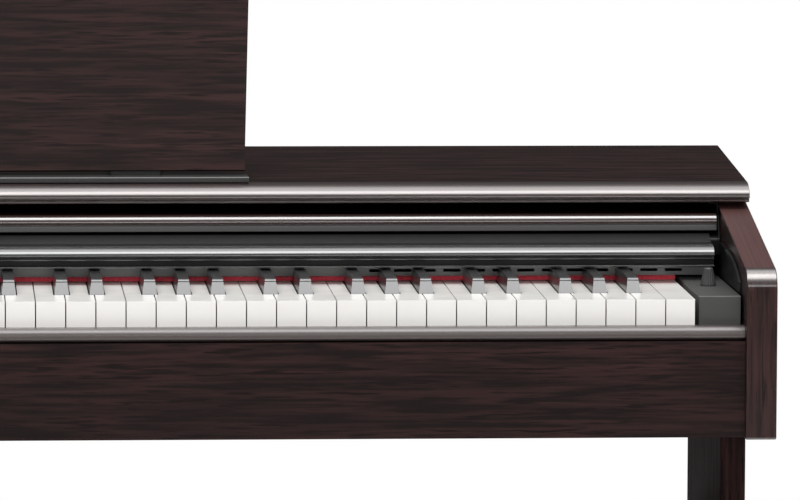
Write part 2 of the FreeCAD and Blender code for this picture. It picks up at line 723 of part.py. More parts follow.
# ---- what is inside the cabinet, and the sockets ----
def speaker(side):
    """Round driver over the cut-out in the keybed, its cone facing down."""
    axis = Vector(side * SPEAKER_X, SPEAKER_Y, KEYBED_TOP)

    def at(radius, z):
        return Vector(radius, 0, z)

    outline = [
        at(64, 0), at(64, 3), at(56, 3), at(24, 34), at(32, 34), at(32, 52), at(0, 52),
        at(0, 26), at(14, 26), at(52, 0),
    ]
    body = outline_face(outline).revolve(Vector(0, 0, 0), Vector(0, 0, 1), 360)
    body.translate(axis)
    return body


def circuit_boards():
    """Main board behind the keys and the long contact board under them, on their pillars."""
    thickness = 1.6
    main = [box(-250, -40, 90, 180, 642, 642 + thickness)]
    for x in (-240, -50):
        for y in (98, 172):
            main.append(rod_z(x, y, KEYBED_TOP, 642.2, 3))
    main.append(box(-200, -160, 110, 150, 643, 647))
    main.append(box(-120, -100, 120, 160, 643, 658))
    main.extend(rod_z(x, 105, 643, 660, 6) for x in (-140, -80))
    contacts = [box(-610, 610, -70, -30, 645, 645 + thickness)]
    contacts.extend(rod_z(x, -50, KEYBED_TOP + 3, 645.2, 3) for x in range(-600, 601, 200))
    return Part.makeCompound([fuse(main), fuse(contacts)])


def socket_panel():
    """Plate behind the opening in the rear board, with a power inlet and three sockets."""
    plate = box(-112, 112, REAR_BOARD_FRONT - 2.5, REAR_BOARD_FRONT, SOCKET_BAY_LOW - 8,
                SOCKET_BAY_HIGH + 8)
    face = REAR_BOARD_FRONT
    middle = (SOCKET_BAY_LOW + SOCKET_BAY_HIGH) / 2
    inlet = rod_y(-70, face - 1, face + 6, middle, 6).cut(rod_y(-70, face + 1, face + 7, middle, 3.5))
    inlet = inlet.fuse(rod_y(-70, face, face + 5.5, middle, 0.9))
    pedal = rod_y(-20, face - 1, face + 4, middle, 9).cut(rod_y(-20, face + 1, face + 5, middle, 7))
    usb = box(24, 40, face - 1, face + 4, middle - 7, middle + 7)
    usb = usb.cut(box(26, 38, face + 1, face + 5, middle - 5, middle + 5))
    line_out = rod_y(76, face - 1, face + 4, middle, 7).cut(rod_y(76, face, face + 5, middle, 3.2))
    return fuse([plate, inlet, pedal, usb, line_out])


PHONE_BOX_X = (-620.0, -560.0)
PHONE_BOX_Y = (-178.0, -118.0)
PHONE_BOX_BOTTOM = 592.0
PHONE_JACK_RADIUS = 3.2
PHONE_JACK_DEPTH = 30.0


def headphone_box():
    """Small moulded box under the left of the keybed with two jack sockets facing the player."""
    body = box(*PHONE_BOX_X, *PHONE_BOX_Y, PHONE_BOX_BOTTOM, KEYBED_BOTTOM)
    edges = [edge for edge in body.Edges
             if edge.BoundBox.ZMax < PHONE_BOX_BOTTOM + 0.01 or edge.BoundBox.ZLength > 20]
    body = body.makeFillet(3.0, edges)
    jacks = [rod_y(x, PHONE_BOX_Y[0] - 1, PHONE_BOX_Y[0] + PHONE_JACK_DEPTH, 603, PHONE_JACK_RADIUS)
             for x in (-604, -576)]
    return cut(body, jacks)


export("speaker_right", speaker(1))
export("speaker_left", speaker(-1))
export("circuit_boards", circuit_boards())
export("socket_panel", socket_panel())
export("headphone_box", headphone_box())


# ---- stand ----
def foot():
    """Right foot: a long block with a rounded front, standing on two glides."""
    inner = 652.0
    front_round = 24.0
    start = FOOT_FRONT
    return sweep_x([
        yz(start, GLIDE_HEIGHT), yz(start, FOOT_HEIGHT - front_round),
        (yz(start + front_round * (1 - math.sqrt(0.5)), FOOT_HEIGHT - front_round * (1 - math.sqrt(0.5))),
         yz(start + front_round, FOOT_HEIGHT)),
        yz(REAR_BOARD_BACK, FOOT_HEIGHT), yz(REAR_BOARD_BACK, GLIDE_HEIGHT),
    ], inner, LEG_OUTER)


def glides():
    """A flat glide under each end of both feet."""
    return Part.makeCompound([rod_z(side * 664.0, y, 0, GLIDE_HEIGHT, 11.0)
                              for side in (-1, 1) for y in (-175.0, 185.0)])


leg = box(STAND_HALF, LEG_OUTER, LEG_FRONT, REAR_BOARD_BACK, FOOT_HEIGHT, CABINET_BOTTOM)
stand_back = box(-STAND_HALF, STAND_HALF, 152, 166, 240, 500)

export("leg_panel_right", cut(leg, SCREW_HOLES))
export("leg_panel_left", cut(mirrored(leg), SCREW_HOLES))
export("foot_right", foot())
export("foot_left", mirrored(foot()))
export("foot_glides", glides())
export("stand_back_panel", cut(stand_back, SCREW_HOLES))


# ---- lower rail, pedals and the height adjuster ----
ADJUSTER_Y = 142.0
ADJUSTER_SCREW = 5.0
PEDAL_SLOT_HALF = 13.0


def pedal_box():
    """Rail between the side panels, hollow in the middle, with a slot for each pedal."""
    body = box(-STAND_HALF, STAND_HALF, PEDAL_BOX_FRONT, PEDAL_BOX_BACK, PEDAL_BOX_BOTTOM, PEDAL_BOX_TOP)
    hollow = box(-120, 120, PEDAL_BOX_FRONT + 4, PEDAL_BOX_BACK + 1, PEDAL_BOX_BOTTOM + 12,
                 PEDAL_BOX_TOP - 10)
    slots = [box(x - PEDAL_SLOT_HALF, x + PEDAL_SLOT_HALF, PEDAL_BOX_FRONT - 1, PEDAL_BOX_FRONT + 5,
                 73, 92) for x in (-PEDAL_SPACING, 0, PEDAL_SPACING)]
    thread = rod_z(200, ADJUSTER_Y, PEDAL_BOX_BOTTOM - 1, PEDAL_BOX_BOTTOM + 40,
                   ADJUSTER_SCREW + RUNNING_CLEARANCE)
    shell = cut(body, [hollow, thread] + slots)
    ears = []
    for x in (-PEDAL_SPACING, 0, PEDAL_SPACING):
        for ear_x in (x - 12.0, x + 9.0):
            ears.append(box(ear_x, ear_x + 3, PEDAL_PIVOT_Y - 7, PEDAL_PIVOT_Y + 7,
                            PEDAL_BOX_BOTTOM + 11, PEDAL_PIVOT_Z + 7))
        ears.append(rod_x(x - 12.0, x + 12.0, PEDAL_PIVOT_Y, PEDAL_PIVOT_Z, PEDAL_HOLE_RADIUS))
    return fuse([shell] + ears)


def pedal(x):
    """Flat lever that widens into a rounded toe plate in front of the rail."""
    toe = 48.0
    thickness = 5.0
    low = PEDAL_PIVOT_Z - 5.5
    outline = [
        Vector(x - 7.5, PEDAL_PIVOT_Y + 6, low), Vector(x - 7.5, PEDAL_BOX_FRONT - 8, low),
        Vector(x - 12, toe + 14, low),
        (Vector(x, toe, low), Vector(x + 12, toe + 14, low)),
        Vector(x + 7.5, PEDAL_BOX_FRONT - 8, low), Vector(x + 7.5, PEDAL_PIVOT_Y + 6, low),
    ]
    lever = outline_face(outline).extrude(Vector(0, 0, thickness))
    hub = rod_x(x - 7.5, x + 7.5, PEDAL_PIVOT_Y, PEDAL_PIVOT_Z, 6.0)
    hole = rod_x(x - 10, x + 10, PEDAL_PIVOT_Y, PEDAL_PIVOT_Z, PEDAL_HOLE_RADIUS + RUNNING_CLEARANCE)
    return lever.fuse(hub).cut(hole).removeSplitter()


def pedal_adjuster():
    """Foot screw that carries the middle of the rail; its knurled disc is turned by hand."""
    disc = rod_z(200, ADJUSTER_Y, 0, 12, 16)
    notches = [Part.makeCylinder(1.6, 14, Vector(200 + 16.6 * math.cos(a), ADJUSTER_Y + 16.6 * math.sin(a), -1))
               for a in [2 * math.pi * i / 16 for i in range(16)]]
    return cut(disc, notches).fuse(rod_z(200, ADJUSTER_Y, 11, PEDAL_BOX_BOTTOM + 30, ADJUSTER_SCREW))


export("pedal_box", cut(pedal_box(), SCREW_HOLES))
export("pedal_left", pedal(-PEDAL_SPACING))
export("pedal_middle", pedal(0.0))
export("pedal_right", pedal(PEDAL_SPACING))
export("pedal_adjuster", pedal_adjuster())
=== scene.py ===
import bpy
import bmesh
import json
import math
import random
from mathutils import Matrix, Vector

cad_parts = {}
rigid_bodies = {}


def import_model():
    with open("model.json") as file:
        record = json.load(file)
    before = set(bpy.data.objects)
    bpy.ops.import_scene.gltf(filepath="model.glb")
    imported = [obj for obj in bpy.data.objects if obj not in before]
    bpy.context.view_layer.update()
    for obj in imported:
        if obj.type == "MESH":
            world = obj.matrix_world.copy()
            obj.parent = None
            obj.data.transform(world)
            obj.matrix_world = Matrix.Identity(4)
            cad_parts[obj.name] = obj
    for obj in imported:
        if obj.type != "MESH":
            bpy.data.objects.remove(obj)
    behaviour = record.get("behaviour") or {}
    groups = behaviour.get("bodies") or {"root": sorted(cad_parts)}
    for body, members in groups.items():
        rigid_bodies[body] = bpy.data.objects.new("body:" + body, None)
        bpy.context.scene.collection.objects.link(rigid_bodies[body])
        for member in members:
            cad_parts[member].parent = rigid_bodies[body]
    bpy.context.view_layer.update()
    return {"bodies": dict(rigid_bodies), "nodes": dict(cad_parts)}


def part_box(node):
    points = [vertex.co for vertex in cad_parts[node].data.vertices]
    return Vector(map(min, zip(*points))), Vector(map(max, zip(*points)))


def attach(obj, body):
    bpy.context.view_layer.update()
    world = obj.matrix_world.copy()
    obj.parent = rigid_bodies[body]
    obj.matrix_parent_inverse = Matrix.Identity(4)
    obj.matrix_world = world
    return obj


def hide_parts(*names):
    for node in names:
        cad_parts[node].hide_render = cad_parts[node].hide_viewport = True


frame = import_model()


# ---------------------------------------------------------------------------
# Side arms. Particle board wrapped in a dark rosewood-pattern foil, screwed to the ends of the
# cabinet. The round corner at the front is lacquered glossy; the slope behind it has a paler
# colour painted on, a painted reflection of the bright room above and behind it.
MM = 0.001
CABINET = "cabinet_and_stand"
ARM_CORNER = 18 * MM
ARM_SLOPE = math.radians(9.9)
ARM_SLOPE_POINT = (-155.4 * MM, 756.9 * MM)


def grain_group():
    """Rosewood pattern: long streaks, short dark pores and slow changes of tone along one axis."""
    group = bpy.data.node_groups.new("rosewood_grain", "ShaderNodeTree")
    face = group.interface
    for name, kind in (("Stretch", "NodeSocketVector"), ("Dark", "NodeSocketColor"),
                       ("Mid", "NodeSocketColor"), ("Light", "NodeSocketColor"),
                       ("Roughness", "NodeSocketFloat")):
        face.new_socket(name=name, in_out="INPUT", socket_type=kind)
    for name, kind in (("Color", "NodeSocketColor"), ("Roughness", "NodeSocketFloat"),
                       ("Height", "NodeSocketFloat")):
        face.new_socket(name=name, in_out="OUTPUT", socket_type=kind)
    nodes, links = group.nodes, group.links
    enter = nodes.new("NodeGroupInput")
    leave = nodes.new("NodeGroupOutput")
    place = nodes.new("ShaderNodeTexCoord")
    stretch = nodes.new("ShaderNodeVectorMath")
    stretch.operation = "MULTIPLY"
    links.new(place.outputs["Object"], stretch.inputs[0])
    links.new(enter.outputs["Stretch"], stretch.inputs[1])

    def noise(scale, detail, rough, distort):
        node = nodes.new("ShaderNodeTexNoise")
        node.inputs["Scale"].default_value = scale
        node.inputs["Detail"].default_value = detail
        node.inputs["Roughness"].default_value = rough
        node.inputs["Distortion"].default_value = distort
        links.new(stretch.outputs[0], node.inputs["Vector"])
        return node

    def remap(source, low, high, out_low, out_high):
        node = nodes.new("ShaderNodeMapRange")
        node.inputs["From Min"].default_value = low
        node.inputs["From Max"].default_value = high
        node.inputs["To Min"].default_value = out_low
        node.inputs["To Max"].default_value = out_high
        links.new(source, node.inputs["Value"])
        return node

    def blend(factor, first, second):
        node = nodes.new("ShaderNodeMix")
        node.data_type = "RGBA"
        links.new(factor, node.inputs["Factor"])
        links.new(first, node.inputs["A"])
        links.new(second, node.inputs["B"])
        return node

    streaks = noise(210.0, 4.0, 0.6, 0.25)
    figure = noise(34.0, 4.0, 0.6, 0.5)
    pores = noise(560.0, 2.0, 0.5, 0.0)
    streak_mask = remap(streaks.outputs["Fac"], 0.38, 0.60, 0.0, 1.0)
    figure_mask = remap(figure.outputs["Fac"], 0.35, 0.68, 0.0, 1.0)
    pore_mask = remap(pores.outputs["Fac"], 0.54, 0.64, 0.0, 1.0)
    tone = blend(figure_mask.outputs[0], enter.outputs["Mid"], enter.outputs["Light"])
    streaked = blend(streak_mask.outputs[0], enter.outputs["Dark"], tone.outputs["Result"])
    pored = blend(pore_mask.outputs[0], streaked.outputs["Result"], enter.outputs["Dark"])
    links.new(pored.outputs["Result"], leave.inputs["Color"])
    rough_shift = remap(streaks.outputs["Fac"], 0.3, 0.7, 0.07, -0.05)
    rough_sum = nodes.new("ShaderNodeMath")
    rough_sum.operation = "ADD"
    links.new(rough_shift.outputs[0], rough_sum.inputs[0])
    links.new(enter.outputs["Roughness"], rough_sum.inputs[1])
    links.new(rough_sum.outputs[0], leave.inputs["Roughness"])
    height = nodes.new("ShaderNodeMath")
    height.operation = "SUBTRACT"
    links.new(streak_mask.outputs[0], height.inputs[0])
    links.new(pore_mask.outputs[0], height.inputs[1])
    links.new(height.outputs[0], leave.inputs["Height"])
    return group


GRAIN = grain_group()
ALONG = {"x": (0.05, 1.0, 1.0), "y": (1.0, 0.05, 1.0), "z": (1.0, 1.0, 0.05),
         "slope": (3.0, 0.012, 0.05)}
LACQUER_IOR = 2.0
FOIL_DARK = (0.0042, 0.0020, 0.0020, 1)
FOIL_MID = (0.0170, 0.0076, 0.0072, 1)
FOIL_LIGHT = (0.0300, 0.0130, 0.0120, 1)


def foil(name, axis, roughness=0.42, coat=0.0, bump=0.25, lift=1.0, gloss=0.3, contrast=1.0):
    """Wood-pattern foil with its grain along one axis.

    coat makes it a lacquered edge, lift brightens it, and contrast draws its tones together.
    """
    material = bpy.data.materials.new(name)
    material.use_nodes = True
    nodes, links = material.node_tree.nodes, material.node_tree.links
    shader = nodes["Principled BSDF"]
    grain = nodes.new("ShaderNodeGroup")
    grain.node_tree = GRAIN
    grain.inputs["Stretch"].default_value = ALONG[axis]
    for socket, colour in (("Dark", FOIL_DARK), ("Mid", FOIL_MID), ("Light", FOIL_LIGHT)):
        tone = [m + (c - m) * contrast for c, m in zip(colour[:3], FOIL_MID)]
        grain.inputs[socket].default_value = (*(c * lift for c in tone), 1)
    grain.inputs["Roughness"].default_value = roughness
    relief = nodes.new("ShaderNodeBump")
    relief.inputs["Strength"].default_value = bump
    relief.inputs["Distance"].default_value = 0.05 * MM
    links.new(grain.outputs["Height"], relief.inputs["Height"])
    links.new(relief.outputs["Normal"], shader.inputs["Normal"])
    links.new(grain.outputs["Color"], shader.inputs["Base Color"])
    links.new(grain.outputs["Roughness"], shader.inputs["Roughness"])
    shader.inputs["Specular IOR Level"].default_value = gloss
    shader.inputs["Specular Tint"].default_value = (1.0, 0.86, 0.83, 1)
    shader.inputs["Coat Weight"].default_value = coat
    shader.inputs["Coat IOR"].default_value = LACQUER_IOR
    shader.inputs["Coat Roughness"].default_value = 0.20
    return material


def rounded(corners, steps=10):
    """Outline from (a, b, radius) corners: each corner with a radius becomes a tangent arc."""
    outline = []
    count = len(corners)
    for i, (a, b, radius) in enumerate(corners):
        here = Vector((a, b))
        if radius <= 0:
            outline.append(here)
            continue
        before = (Vector(corners[i - 1][:2]) - here).normalized()
        after = (Vector(corners[(i + 1) % count][:2]) - here).normalized()
        half = before.angle(after) / 2
        centre = here + (before + after).normalized() * (radius / math.sin(half))
        start = here + before * (radius / math.tan(half)) - centre
        end = here + after * (radius / math.tan(half)) - centre
        sweep = start.angle_signed(end)
        for step in range(steps + 1):
            turn = -sweep * step / steps
            outline.append(centre + Matrix.Rotation(turn, 2) @ start)
    return outline


def point_on(axis, along, a, b):
    """Point from an outline's two coordinates and the place along the third axis."""
    return {"x": (along, a, b), "y": (a, along, b), "z": (a, b, along)}[axis]


def new_piece(name, mesh, material, body, stands_for=(), edge=0.6 * MM, corner=35):
    """Object that rides on a body, with its outer edges rounded."""
    piece = bpy.data.objects.new(name, mesh)
    bpy.context.scene.collection.objects.link(piece)
    for entry in material if isinstance(material, (list, tuple)) else [material]:
        mesh.materials.append(entry)
    mesh.polygons.foreach_set("use_smooth", [True] * len(mesh.polygons))
    if edge:
        soften(piece, edge, corner)
    else:
        mesh.set_sharp_from_angle(angle=math.radians(corner))
    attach(piece, body)
    if stands_for:
        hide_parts(*stands_for)
    return piece


def soften(piece, edge, corner=35, segments=3):
    """Rounds every edge sharper than the given angle."""
    bevel = piece.modifiers.new("edge_round", "BEVEL")
    bevel.width = edge
    bevel.segments = segments
    bevel.limit_method = "ANGLE"
    bevel.angle_limit = math.radians(corner)
    bevel.harden_normals = True
    bevel.miter_outer = "MITER_ARC"
    return bevel


def prism_mesh(name, outline, axis, start, end, cuts=()):
    """Closed prism: an outline carried along an axis, with optional rings in between."""
    places = [start] + list(cuts) + [end]
    points = [point_on(axis, along, a, b) for along in places for a, b in outline]
    count = len(outline)
    faces = [list(range(count))[::-1], [count * (len(places) - 1) + i for i in range(count)]]
    for ring in range(len(places) - 1):
        low = ring * count
        for i in range(count):
            j = (i + 1) % count
            faces.append([low + i, low + j, low + count + j, low + count + i])
    mesh = bpy.data.meshes.new(name)
    mesh.from_pydata(points, [], faces)
    tidy = bmesh.new()
    tidy.from_mesh(mesh)
    bmesh.ops.recalc_face_normals(tidy, faces=tidy.faces)
    tidy.to_mesh(mesh)
    tidy.free()
    return mesh


def mark_faces(mesh, choose, index):
    """Gives a material slot to the faces whose centre and normal pass the test."""
    for polygon in mesh.polygons:
        if choose(polygon.center, polygon.normal):
            polygon.material_index = index


lid_low, lid_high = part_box("top_board")
LID_SLOPE = math.tan(math.radians(3.5))
LID_THICKNESS = 15 * MM


def lid_top(y):
    """Height of the sloping lid's upper face; the arms run up under it."""
    return lid_high.z + (y - lid_high.y) * LID_SLOPE


def arm_outline(low, high):
    """Upright front, large round corner, slope, then along under the lid and down the back."""
    slope = math.tan(ARM_SLOPE)
    y0, z0 = ARM_SLOPE_POINT
    meet = (z0 - y0 * slope - (lid_top(0) - LID_THICKNESS)) / (LID_SLOPE - slope)
    front_z = z0 + (low.y - y0) * slope
    return rounded([
        (low.y, low.z, 2 * MM),
        (low.y, front_z, ARM_CORNER),
        (meet, lid_top(meet) - LID_THICKNESS, 0),
        (high.y, lid_top(high.y) - LID_THICKNESS, 0),
        (high.y, low.z, 0),
    ], steps=24)


foil_side = foil("rosewood_foil_along_arm", "y", roughness=0.40)
foil_front_edge = foil("rosewood_lacquered_edge", "z", roughness=0.30, coat=1.0, gloss=1.0, lift=1.1)
foil_arm_front = foil("rosewood_arm_front", "z", roughness=0.40, coat=0.2, gloss=0.4, lift=1.5)
# The slope's paler colour (lift) is a painted reflection of the bright room, not the foil's own tone.
foil_slope_painted_reflection = foil("rosewood_sloping_edge_painted_reflection", "slope", roughness=0.40, lift=4.4, gloss=0.6,
                  contrast=0.35)
arm_finishes = [foil_side, foil_front_edge, foil_slope_painted_reflection, foil_arm_front]
for side in ("left", "right"):
    low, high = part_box("side_arm_" + side)
    mesh = prism_mesh("arm_%s_panel" % side, arm_outline(low, high), "x", low.x, high.x)
    new_piece("arm_%s_panel" % side, mesh, arm_finishes, CABINET, ["side_arm_" + side],
              edge=1.0 * MM, corner=60)
    mark_faces(mesh, lambda centre, normal: abs(normal.x) < 0.5 and normal.z - normal.y > 0.3,
               arm_finishes.index(foil_front_edge))
    # Slope faces get the paler copy of the foil, the painted reflection.
    mark_faces(mesh, lambda centre, normal: abs(normal.x) < 0.5 and abs(normal.z) > 0.984,
               arm_finishes.index(foil_slope_painted_reflection))
    mark_faces(mesh, lambda centre, normal: normal.y < -0.97, arm_finishes.index(foil_arm_front))


# ---------------------------------------------------------------------------
# Lid over the back of the cabinet. The same board, with a solid nose glued along its front that is
# rounded over in a long curve and lacquered like the arms' round corners.
NOSE_DEPTH = 21.6 * MM
NOSE_DROP = 12 * MM


def quarter_curve(start, depth, drop, steps=28):
    """Quarter ellipse from a level top to an upright front, as (y, z) points."""
    y, z = start
    return [Vector((y - depth * math.sin(turn), z - drop * (1 - math.cos(turn))))
            for turn in (math.pi / 2 * step / steps for step in range(steps + 1))]


def lid_outline():
    nose_start = lid_low.y + NOSE_DEPTH
    under = lid_low.y + 1.5 * MM
    back = rounded([
        (nose_start, lid_top(nose_start), 0),
        (lid_high.y, lid_high.z, 1 * MM),
        (lid_high.y, lid_high.z - LID_THICKNESS, 1 * MM),
        (lid_low.y, lid_top(under) - LID_THICKNESS, 1.5 * MM),
    ], steps=6)
    return back + quarter_curve((nose_start, lid_top(nose_start)), NOSE_DEPTH, NOSE_DROP)[:0:-1]


foil_lid = foil("rosewood_foil_lid", "x", roughness=0.5, bump=0.3, gloss=0.15)
foil_nose = foil("rosewood_lacquered_nose", "x", roughness=0.30, coat=1.0, gloss=1.0, lift=1.1)
mesh = prism_mesh("lid_board", lid_outline(), "x", lid_low.x, lid_high.x)
new_piece("lid_board", mesh, [foil_lid, foil_nose], CABINET, ["top_board"],
          edge=0.8 * MM, corner=50)
mark_faces(mesh, lambda centre, normal: centre.y < lid_low.y + NOSE_DEPTH and abs(normal.x) < 0.5, 1)


# ---------------------------------------------------------------------------
# Flat boards of the cabinet and the stand: front panel, side panels, feet, back panel and pedal
# rail. Foil-wrapped board; every edge is eased a little where the foil is folded over it.
foil_front = foil("rosewood_foil_front", "x", roughness=0.46)
foil_upright = foil("rosewood_foil_upright", "z", roughness=0.55, gloss=0.1)
foil_foot = foil("rosewood_foil_foot", "y", roughness=0.42)


def keep(node, material, edge=0.0, corner=35, segments=3):
    """A CAD piece whose shape is right: it gets its finish and softened edges.

    A pair of materials is one for the faces and one for the rounded edges.
    """
    piece = frame["nodes"][node]
    piece.data.materials.clear()
    pair = material if isinstance(material, tuple) else (material,)
    for entry in pair:
        piece.data.materials.append(entry)
    if edge:
        soften(piece, edge, corner, segments).material = len(pair) - 1
    return piece


foil_edge = foil("rosewood_polished_edge", "x", roughness=0.28, coat=1.0, gloss=1.0, lift=1.6)
keep("front_panel", (foil_front, foil_edge), edge=1.2 * MM)
keep("key_cover_board", foil_front, edge=0.8 * MM)
for side in ("left", "right"):
    keep("leg_panel_" + side, foil_upright, edge=1.0 * MM)
    keep("foot_" + side, foil_foot, edge=1.6 * MM)
keep("stand_back_panel", foil_front, edge=1.0 * MM)
keep("pedal_box", foil_front, edge=1.0 * MM)


# ---------------------------------------------------------------------------
# Keybed and rear board. Plain board painted dark brown, with the fibres just showing through the
# paint, screwed together inside the cabinet.
def speckle_group():
    """Fine even grain of a moulded or painted surface: a colour, a roughness and a height."""
    group = bpy.data.node_groups.new("moulded_surface", "ShaderNodeTree")
    face = group.interface
    for name, kind in (("Base", "NodeSocketColor"), ("Second", "NodeSocketColor"),
                       ("Roughness", "NodeSocketFloat"), ("Spread", "NodeSocketFloat"),
                       ("Grain", "NodeSocketFloat"), ("Marks", "NodeSocketFloat")):
        face.new_socket(name=name, in_out="INPUT", socket_type=kind)
    for name, kind in (("Color", "NodeSocketColor"), ("Roughness", "NodeSocketFloat"),
                       ("Height", "NodeSocketFloat")):
        face.new_socket(name=name, in_out="OUTPUT", socket_type=kind)
    nodes, links = group.nodes, group.links
    enter = nodes.new("NodeGroupInput")
    leave = nodes.new("NodeGroupOutput")
    place = nodes.new("ShaderNodeTexCoord")
    fine = nodes.new("ShaderNodeTexNoise")
    fine.inputs["Detail"].default_value = 3.0
    links.new(place.outputs["Object"], fine.inputs["Vector"])
    links.new(enter.outputs["Grain"], fine.inputs["Scale"])
    slow = nodes.new("ShaderNodeTexNoise")
    slow.inputs["Detail"].default_value = 4.0
    slow.inputs["Distortion"].default_value = 0.6
    links.new(place.outputs["Object"], slow.inputs["Vector"])
    links.new(enter.outputs["Marks"], slow.inputs["Scale"])
    mix = nodes.new("ShaderNodeMix")
    mix.data_type = "RGBA"
    links.new(slow.outputs["Fac"], mix.inputs["Factor"])
    links.new(enter.outputs["Base"], mix.inputs["A"])
    links.new(enter.outputs["Second"], mix.inputs["B"])
    links.new(mix.outputs["Result"], leave.inputs["Color"])
    centred = nodes.new("ShaderNodeMath")
    centred.operation = "SUBTRACT"
    centred.inputs[1].default_value = 0.5
    links.new(slow.outputs["Fac"], centred.inputs[0])
    spread = nodes.new("ShaderNodeMath")
    spread.operation = "MULTIPLY_ADD"
    links.new(centred.outputs[0], spread.inputs[0])
    links.new(enter.outputs["Spread"], spread.inputs[1])
    links.new(enter.outputs["Roughness"], spread.inputs[2])
    links.new(spread.outputs[0], leave.inputs["Roughness"])
    links.new(fine.outputs["Fac"], leave.inputs["Height"])
    return group


SPECKLE = speckle_group()
MOULDED_SKIN_IOR = 1.5


def moulded(name, colour, roughness, spread=0.15, grain=900.0, marks=14.0, bump=0.1, depth=0.03 * MM,
            metal=0.0, coat=0.0, second=None, gloss=0.5):
    """Plastic, paint or plated metal with a fine surface grain and slow changes of gloss.

    A coat of more than a half is lacquer, and a thinner one is the skin of a moulding.
    """
    material = bpy.data.materials.new(name)
    material.use_nodes = True
    nodes, links = material.node_tree.nodes, material.node_tree.links
    shader = nodes["Principled BSDF"]
    surface = nodes.new("ShaderNodeGroup")
    surface.node_tree = SPECKLE
    surface.inputs["Base"].default_value = (*colour, 1)
    surface.inputs["Second"].default_value = (*(second or [c * 1.12 for c in colour]), 1)
    surface.inputs["Roughness"].default_value = roughness
    surface.inputs["Spread"].default_value = spread
    surface.inputs["Grain"].default_value = grain
    surface.inputs["Marks"].default_value = marks
    relief = nodes.new("ShaderNodeBump")
    relief.inputs["Strength"].default_value = bump
    relief.inputs["Distance"].default_value = depth
    links.new(surface.outputs["Height"], relief.inputs["Height"])
    links.new(relief.outputs["Normal"], shader.inputs["Normal"])
    links.new(surface.outputs["Color"], shader.inputs["Base Color"])
    links.new(surface.outputs["Roughness"], shader.inputs["Roughness"])
    shader.inputs["Metallic"].default_value = metal
    shader.inputs["Specular IOR Level"].default_value = gloss
    shader.inputs["Coat Weight"].default_value = coat
    shader.inputs["Coat IOR"].default_value = LACQUER_IOR if coat > 0.5 else MOULDED_SKIN_IOR
    shader.inputs["Coat Roughness"].default_value = 0.14
    return material


painted_board = moulded("painted_board", (0.018, 0.013, 0.011), 0.6, grain=500.0, bump=0.5)
keep("keybed_board", painted_board, edge=0.6 * MM)
keep("rear_board", painted_board, edge=0.6 * MM)


# ---------------------------------------------------------------------------
# Key slip. Extruded moulding along the front of the keys, glossy on its rounded top, with a thin
# leg that is clamped behind the front panel and a shadow groove under it.
slip_low, slip_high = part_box("key_slip")


def slip_outline():
    """Profile from the leg's foot, over the rounded rail and back down."""
    leg_front = slip_high.y - 1.6 * MM
    top = slip_high.z
    under = top - 9.2 * MM
    return rounded([
        (slip_high.y, slip_low.z, 0),
        (slip_high.y, top, 0.5 * MM),
        (slip_low.y + 0.8 * MM, top, 7 * MM),
        (slip_low.y, under + 1.5 * MM, 1 * MM),
        (slip_low.y + 0.8 * MM, under, 0.6 * MM),
        (leg_front, under, 0),
        (leg_front, slip_low.z, 0),
    ], steps=12)


slip_finish = moulded("slip_lacquer", (0.055, 0.042, 0.039), 0.42, spread=0.1, bump=0.05, coat=0.5,
                      gloss=1.0)
mesh = prism_mesh("slip_moulding", slip_outline(), "x", slip_low.x, slip_high.x)
new_piece("slip_moulding", mesh, slip_finish, CABINET, ["key_slip"], edge=0.3 * MM, corner=50)


# ---------------------------------------------------------------------------
# Key cover lip. Grip moulding along the front of the sliding cover: a lacquered round on top, a
# fine groove, and a grey skirt below it.
lip_low, lip_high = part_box("key_cover_lip")
LIP_GROOVE = lip_high.z - 8.4 * MM


def lip_outline():
    front = lip_low.y
    skirt = rounded([
        (front, LIP_GROOVE + 0.4 * MM, 0.3 * MM),
        (front + 1.2 * MM, LIP_GROOVE, 0.2 * MM),
        (front + 1.2 * MM, LIP_GROOVE - 0.6 * MM, 0.2 * MM),
        (front + 0.4 * MM, LIP_GROOVE - 1.0 * MM, 0.3 * MM),
        (front + 0.4 * MM, lip_low.z, 0.6 * MM),
        (lip_high.y, lip_low.z, 0),
        (lip_high.y, lip_high.z, 0),
    ], steps=5)
    return skirt + quarter_curve((front + 7.4 * MM, lip_high.z), 7.4 * MM, 7.2 * MM)


lip_finish = moulded("lip_lacquer", (0.030, 0.016, 0.014), 0.26, spread=0.1, bump=0.04, coat=1.0,
                     gloss=1.0)
skirt_grey = moulded("lip_skirt_grey", (0.085, 0.083, 0.083), 0.34, spread=0.1, bump=0.06)
mesh = prism_mesh("cover_lip_moulding", lip_outline(), "x", lip_low.x, lip_high.x)
new_piece("cover_lip_moulding", mesh, [lip_finish, skirt_grey], "key_cover",
          ["key_cover_lip"], edge=0.0, corner=40)
mark_faces(mesh, lambda centre, normal: centre.z < LIP_GROOVE, 1)


# ---------------------------------------------------------------------------
# Nameboard. Dark grey extrusion behind the keys: a hollow face, a round nose that catches the
# light, a flat lower edge and a groove under it. The hollow face has a darker painted shade, and
# the groove is painted black as painted shade in the recess.
board_low, board_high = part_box("nameboard")
KEY_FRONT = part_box("key_c8")[0].y
KEY_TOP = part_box("key_c8")[1].z


def above_keys(back, up, radius=0.0):
    """Corner given in millimetres behind the keys' front edge and above their tops."""
    return (KEY_FRONT + back * MM, KEY_TOP + up * MM, radius * MM)


def nameboard_outline():
    return rounded([
        above_keys(121.5, 19.8, 0.6),
        above_keys(126.0, 19.6, 0.3), above_keys(126.0, 15.0, 0.3),
        above_keys(122.5, 14.9, 0.25), above_keys(122.5, 13.6, 0.25),
        above_keys(153.0, 13.6), above_keys(153.0, 16.0),
        above_keys(128.6, 16.4), above_keys(128.6, 22.0), above_keys(124.0, 22.4),
        above_keys(124.6, 27.6, 2.0), above_keys(143.6, 29.0, 20), above_keys(161.6, 34.4),
        above_keys(170, 34.4), above_keys(170, 37.0), above_keys(161, 37.0, 0.8),
        above_keys(148, 31.4, 22),
    ], steps=12) + quarter_curve(above_keys(135.5, 30.8)[:2], 14 * MM, 8 * MM)


